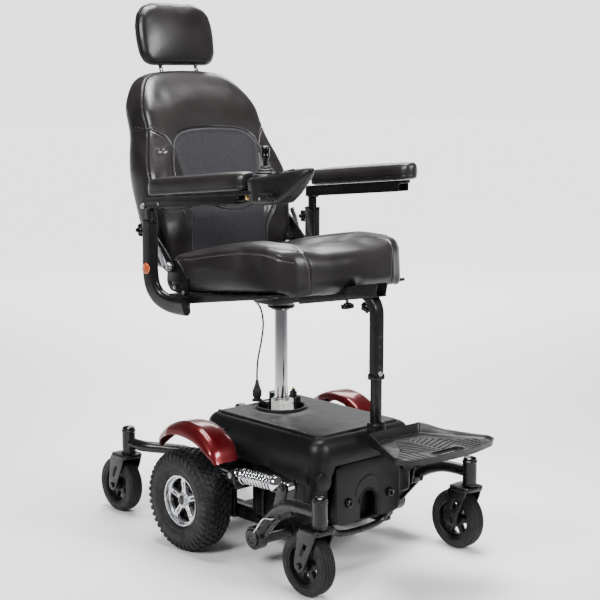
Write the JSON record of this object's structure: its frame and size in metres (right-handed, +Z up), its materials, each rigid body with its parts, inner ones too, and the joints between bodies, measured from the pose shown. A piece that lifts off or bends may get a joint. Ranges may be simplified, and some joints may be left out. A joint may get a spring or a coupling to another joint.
{
  "type": "power wheelchair",
  "caption": "Mid-wheel-drive power wheelchair: seat on a lift column, reclining back, flip-up armrests, joystick pod, swing-down footplate, sprung front casters.",
  "frame": {"origin": "on the ground at the centre of the bounding box", "axes": "+X forward, +Y to the rider's left, +Z up"},
  "size_m": [1.1484, 0.615, 1.3928],
  "materials": {
    "black_paint": "satin powder coat",
    "black_plastic": "fine textured, satin",
    "chrome": "polished",
    "silver_metal": "machined, satin lacquer",
    "red_gloss": "candy red clear coat",
    "tyre_rubber": "matte",
    "soft_rubber": "matte",
    "black_leather": "smooth, semi-gloss, light stitching",
    "white_plastic": "satin",
    "amber_lens": "moulded reflector"
  },
  "bodies": {
    "chassis": {"main_frame": "black_paint", "batteries": "black_plastic", "controller_box": "silver_metal", "hood": "black_plastic", "front_cover": "black_plastic", "lift_housing": "white_plastic", "cable_plug": "black_plastic", "motor_right": "silver_metal", "motor_left": "silver_metal", "fender_right": "red_gloss", "fender_left": "red_gloss"},
    "seat": {"lift_ram": "chrome", "seat_frame": "black_paint", "seat_cushion": "black_leather", "armrest_post_right": "black_paint", "armrest_post_left": "black_paint", "reflector_right": "amber_lens", "reflector_left": "amber_lens", "seat_cable": "soft_rubber"},
    "back": {"back_frame": "black_paint", "back_cushion": "black_leather"},
    "headrest": {"headrest_posts": "chrome", "headrest_pad": "black_leather"},
    "boot": {"joystick_boot": "soft_rubber"},
    "stick": {"joystick_stick": "black_plastic"},
    "button": {"power_button": "white_plastic"},
    "hanger": {"footrest_hanger": "black_paint"},
    "foot_post": {"foot_post": "black_paint"},
    "footplate": {"footplate": "black_plastic"},
    "foot_knob_rear": {"footrest_knob_rear": "black_plastic"},
    "foot_knob_front": {"footrest_knob_front": "black_plastic"},
    "front_arm_right": {"front_arm_right": "black_paint"},
    "shock_barrel_right": {"shock_body_right": "chrome", "shock_spring_right": "chrome"},
    "shock_piston_right": {"shock_rod_right": "chrome"},
    "drive_wheel_right": {"drive_rim_right": "silver_metal", "drive_tyre_right": "tyre_rubber"},
    "front_swivel_right": {"front_fork_right": "black_paint"},
    "front_wheel_right": {"front_caster_right": "tyre_rubber"},
    "rear_swivel_right": {"rear_fork_right": "black_paint"},
    "rear_wheel_right": {"rear_caster_right": "tyre_rubber"},
    "armrest_upright_right": {"armrest_stem_right": "black_paint"},
    "armrest_right": {"armrest_bar_right": "black_paint", "armrest_pad_right": "black_leather", "joystick_pod": "black_plastic"},
    "arm_knob_right": {"armrest_knob_right": "black_plastic"},
    "front_arm_left": {"front_arm_left": "black_paint"},
    "shock_barrel_left": {"shock_body_left": "chrome", "shock_spring_left": "chrome"},
    "shock_piston_left": {"shock_rod_left": "chrome"},
    "drive_wheel_left": {"drive_rim_left": "silver_metal", "drive_tyre_left": "tyre_rubber"},
    "front_swivel_left": {"front_fork_left": "black_paint"},
    "front_wheel_left": {"front_caster_left": "tyre_rubber"},
    "rear_swivel_left": {"rear_fork_left": "black_paint"},
    "rear_wheel_left": {"rear_caster_left": "tyre_rubber"},
    "armrest_upright_left": {"armrest_stem_left": "black_paint"},
    "armrest_left": {"armrest_bar_left": "black_paint", "armrest_pad_left": "black_leather"},
    "arm_knob_left": {"armrest_knob_left": "black_plastic"}
  },
  "joints": [
    {"name": "front_suspension_right", "type": "hinge", "parent": "chassis", "child": "front_arm_right", "pos_m": [0.1292, -0.24, 0.084], "axis": [0, -1, 0], "range_deg": [0, 7], "stiffness_Nm_per_rad": 900, "springref_deg": -4.58},
    {"name": "shock_swing_right", "type": "hinge", "parent": "chassis", "child": "shock_barrel_right", "pos_m": [0.0332, -0.225, 0.219], "axis": [0, -1, 0], "range_deg": [0, 4.14]},
    {"name": "shock_stroke_right", "type": "slide", "parent": "shock_barrel_right", "child": "shock_piston_right", "axis": [0.9984, 0, 0.0563], "range_m": [-0.01763, 0], "deforming": ["shock_spring_right"]},
    {"name": "drive_wheel_spin_right", "type": "hinge", "parent": "chassis", "child": "drive_wheel_right", "pos_m": [-0.1138, -0.258, 0.13], "axis": [0, 1, 0], "continuous": true},
    {"name": "front_caster_swivel_right", "type": "hinge", "parent": "front_arm_right", "child": "front_swivel_right", "pos_m": [0.3742, -0.258, 0.168], "axis": [0, 0, 1], "continuous": true},
    {"name": "front_caster_roll_right", "type": "hinge", "parent": "front_swivel_right", "child": "front_wheel_right", "pos_m": [0.3362, -0.258, 0.076], "axis": [0, 1, 0], "continuous": true},
    {"name": "rear_caster_swivel_right", "type": "hinge", "parent": "chassis", "child": "rear_swivel_right", "pos_m": [-0.4608, -0.2, 0.168], "axis": [0, 0, 1], "continuous": true},
    {"name": "rear_caster_roll_right", "type": "hinge", "parent": "rear_swivel_right", "child": "rear_wheel_right", "pos_m": [-0.4988, -0.2, 0.076], "axis": [0, 1, 0], "continuous": true},
    {"name": "armrest_height_right", "type": "slide", "parent": "seat", "child": "armrest_upright_right", "axis": [0, 0, 1], "range_m": [0, 0.07]},
    {"name": "armrest_flip_right", "type": "hinge", "parent": "armrest_upright_right", "child": "armrest_right", "pos_m": [-0.2378, -0.2785, 0.87], "axis": [0, -1, 0], "range_deg": [0, 95]},
    {"name": "armrest_knob_turn_right", "type": "hinge", "parent": "seat", "child": "arm_knob_right", "pos_m": [-0.2638, -0.2785, 0.806], "axis": [1, 0, 0], "range_deg": [0, 180]},
    {"name": "front_suspension_left", "type": "hinge", "parent": "chassis", "child": "front_arm_left", "pos_m": [0.1292, 0.24, 0.084], "axis": [0, -1, 0], "range_deg": [0, 7], "stiffness_Nm_per_rad": 900, "springref_deg": -4.58},
    {"name": "shock_swing_left", "type": "hinge", "parent": "chassis", "child": "shock_barrel_left", "pos_m": [0.0332, 0.225, 0.219], "axis": [0, -1, 0], "range_deg": [0, 4.14]},
    {"name": "shock_stroke_left", "type": "slide", "parent": "shock_barrel_left", "child": "shock_piston_left", "axis": [0.9984, 0, 0.0563], "range_m": [-0.01763, 0], "deforming": ["shock_spring_left"]},
    {"name": "drive_wheel_spin_left", "type": "hinge", "parent": "chassis", "child": "drive_wheel_left", "pos_m": [-0.1138, 0.258, 0.13], "axis": [0, 1, 0], "continuous": true},
    {"name": "front_caster_swivel_left", "type": "hinge", "parent": "front_arm_left", "child": "front_swivel_left", "pos_m": [0.3742, 0.258, 0.168], "axis": [0, 0, 1], "continuous": true},
    {"name": "front_caster_roll_left", "type": "hinge", "parent": "front_swivel_left", "child": "front_wheel_left", "pos_m": [0.3362, 0.258, 0.076], "axis": [0, 1, 0], "continuous": true},
    {"name": "rear_caster_swivel_left", "type": "hinge", "parent": "chassis", "child": "rear_swivel_left", "pos_m": [-0.4608, 0.2, 0.168], "axis": [0, 0, 1], "continuous": true},
    {"name": "rear_caster_roll_left", "type": "hinge", "parent": "rear_swivel_left", "child": "rear_wheel_left", "pos_m": [-0.4988, 0.2, 0.076], "axis": [0, 1, 0], "continuous": true},
    {"name": "armrest_height_left", "type": "slide", "parent": "seat", "child": "armrest_upright_left", "axis": [0, 0, 1], "range_m": [0, 0.07]},
    {"name": "armrest_flip_left", "type": "hinge", "parent": "armrest_upright_left", "child": "armrest_left", "pos_m": [-0.2378, 0.2785, 0.87], "axis": [0, -1, 0], "range_deg": [0, 95]},
    {"name": "armrest_knob_turn_left", "type": "hinge", "parent": "seat", "child": "arm_knob_left", "pos_m": [-0.2638, 0.2785, 0.806], "axis": [1, 0, 0], "range_deg": [0, 180]},
    {"name": "seat_lift", "type": "slide", "parent": "chassis", "child": "seat", "axis": [0, 0, 1], "range_m": [-0.2, 0], "deforming": ["seat_cable"]},
    {"name": "back_recline", "type": "hinge", "parent": "seat", "child": "back", "pos_m": [-0.2088, 0, 0.715], "axis": [0, -1, 0], "range_deg": [-10, 20]},
    {"name": "headrest_height", "type": "slide", "parent": "back", "child": "headrest", "axis": [-0.3746, 0, 0.9272], "range_m": [0, 0.05]},
    {"name": "joystick_pitch", "type": "hinge", "parent": "armrest_right", "child": "boot", "pos_m": [0.1922, -0.262, 0.962], "axis": [0, 1, 0], "range_deg": [-18, 18], "stiffness_Nm_per_rad": 0.3},
    {"name": "joystick_roll", "type": "hinge", "parent": "boot", "child": "stick", "pos_m": [0.1922, -0.262, 0.962], "axis": [1, 0, 0], "range_deg": [-18, 18], "stiffness_Nm_per_rad": 0.3},
    {"name": "power_button_press", "type": "slide", "parent": "armrest_right", "child": "button", "axis": [0, 0, -1], "range_m": [0, 0.002], "stiffness_N_per_m": 200},
    {"name": "footrest_depth", "type": "slide", "parent": "seat", "child": "hanger", "axis": [0.9848, 0, 0.1736], "range_m": [0, 0.06]},
    {"name": "footrest_height", "type": "slide", "parent": "hanger", "child": "foot_post", "axis": [0, 0, 1], "range_m": [-0.04, 0.04]},
    {"name": "footplate_flip", "type": "hinge", "parent": "foot_post", "child": "footplate", "pos_m": [0.3382, 0, 0.333], "axis": [0, -1, 0], "range_deg": [0, 80]},
    {"name": "footrest_knob_turn_rear", "type": "hinge", "parent": "seat", "child": "foot_knob_rear", "pos_m": [0.19164, 0, 0.65395], "axis": [-0.1736, 0, 0.9848], "range_deg": [0, 180]},
    {"name": "footrest_knob_turn_front", "type": "hinge", "parent": "hanger", "child": "foot_knob_front", "pos_m": [0.27702, 0, 0.6572], "axis": [0.7071, 0, 0.7071], "range_deg": [0, 180]}
  ],
  "couplings": [
    {"joint": "shock_swing_right", "follows": "front_suspension_right", "ratio": 0.54818},
    {"joint": "shock_stroke_right", "follows": "front_suspension_right", "m_per_rad": -0.14019},
    {"joint": "shock_swing_left", "follows": "front_suspension_left", "ratio": 0.54818},
    {"joint": "shock_stroke_left", "follows": "front_suspension_left", "m_per_rad": -0.14019}
  ]
}
